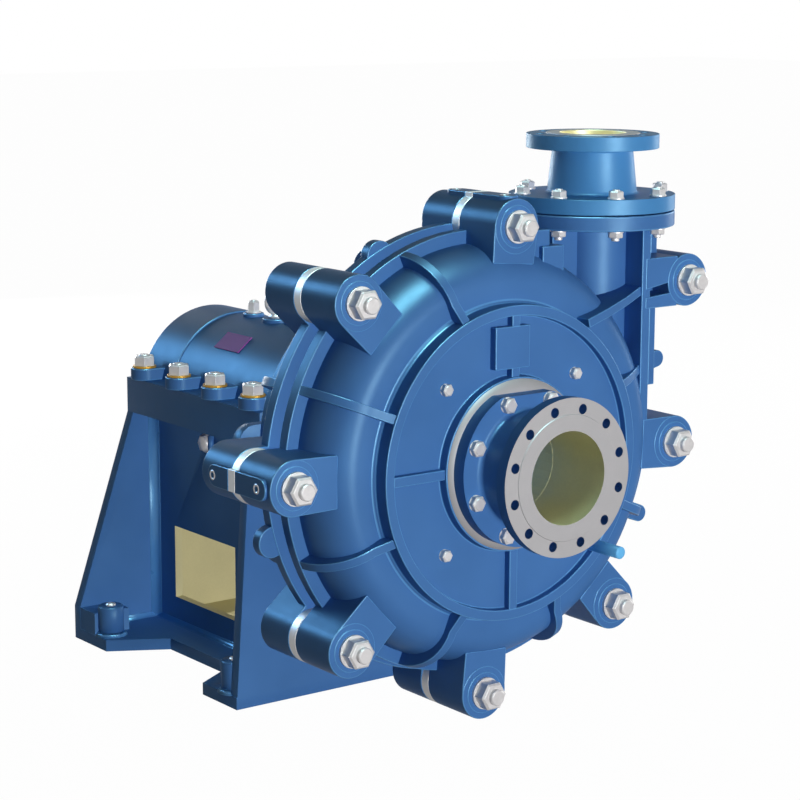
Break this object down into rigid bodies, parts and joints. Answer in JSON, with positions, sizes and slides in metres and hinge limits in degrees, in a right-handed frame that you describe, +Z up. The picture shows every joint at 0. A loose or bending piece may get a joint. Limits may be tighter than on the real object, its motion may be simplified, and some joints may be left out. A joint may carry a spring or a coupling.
{
  "type": "centrifugal slurry pump",
  "caption": "Horizontal centrifugal slurry pump with a bolted split casing, suction nozzle, top discharge branch and oil-filled bearing pedestal.",
  "frame": {"origin": "centre of the pump's box, on the ground that its feet stand on", "axes": "+Y along the shaft from the suction to the drive end, +Z up, +X to the right as seen from the suction"},
  "size_m": [1.2128, 1.619, 1.289],
  "materials": {
    "blue_paint": "satin",
    "machined_steel": "turned, satin",
    "bright_fastener": "zinc plated, bright",
    "bare_iron": "bare, yellowish",
    "wear_iron": "as cast, hard white iron",
    "dark_steel": "dark, satin",
    "gasket_rubber": "matt",
    "brass": "satin",
    "plate_purple": "bare plate, satin",
    "light_blue_paint": "satin"
  },
  "bodies": {
    "pump_base": {"pedestal": "blue_paint", "bearing_cap": "blue_paint", "front_bearing_cover": "dark_steel", "rear_bearing_cover": "dark_steel", "front_casing": "blue_paint", "rear_casing": "blue_paint", "volute_liner": "blue_paint", "throat_bush": "bare_iron", "back_plate": "wear_iron", "suction_nozzle": "blue_paint", "discharge_spool": "blue_paint", "discharge_gasket": "gasket_rubber", "seal_housing": "blue_paint", "gland": "machined_steel", "eye_bolt": "bright_fastener", "filler_plug": "bright_fastener", "vent_plug": "bright_fastener", "level_plug": "bright_fastener", "drain_rod": "light_blue_paint", "name_plate": "plate_purple", "front_bearing_outer_ring": "machined_steel", "rear_bearing_outer_ring": "machined_steel", "cap_bolt_1": "bright_fastener", "cap_bolt_2": "bright_fastener", "cap_bolt_3": "bright_fastener", "cap_bolt_4": "bright_fastener", "cap_bolt_5": "bright_fastener", "cap_bolt_6": "bright_fastener", "cap_bolt_7": "bright_fastener", "cap_bolt_8": "bright_fastener", "stud_top": "bright_fastener", "shim_top": "machined_steel", "stud_upper_left": "bright_fastener", "shim_upper_left": "machined_steel", "stud_left": "bright_fastener", "shim_left": "machined_steel", "stud_lower_left": "bright_fastener", "shim_lower_left": "machined_steel", "stud_bottom": "bright_fastener", "shim_bottom": "machined_steel", "stud_lower_right": "bright_fastener", "shim_lower_right": "machined_steel", "stud_right": "bright_fastener", "shim_right": "machined_steel", "stud_upper_right": "bright_fastener", "shim_upper_right": "machined_steel"},
    "rotor": {"shaft": "machined_steel", "coupling_key": "dark_steel", "impeller": "wear_iron", "expeller": "wear_iron", "shaft_sleeve": "machined_steel", "slinger": "machined_steel", "front_bearing_inner_ring": "machined_steel", "rear_bearing_inner_ring": "machined_steel"},
    "front_cage": {"front_bearing_rollers": "brass"},
    "rear_cage": {"rear_bearing_rollers": "brass"}
  },
  "joints": [
    {"name": "rotor_spin", "type": "hinge", "parent": "pump_base", "child": "rotor", "pos_m": [-0.01443, -0.3695, 0.605], "axis": [0, 1, 0], "continuous": true},
    {"name": "front_cage_spin", "type": "hinge", "parent": "pump_base", "child": "front_cage", "pos_m": [-0.01443, -0.0645, 0.605], "axis": [0, 1, 0], "continuous": true},
    {"name": "rear_cage_spin", "type": "hinge", "parent": "pump_base", "child": "rear_cage", "pos_m": [-0.01443, 0.4995, 0.605], "axis": [0, 1, 0], "continuous": true}
  ],
  "couplings": [
    {"joint": "front_cage_spin", "follows": "rotor_spin", "ratio": 0.4167},
    {"joint": "rear_cage_spin", "follows": "rotor_spin", "ratio": 0.4167}
  ]
}
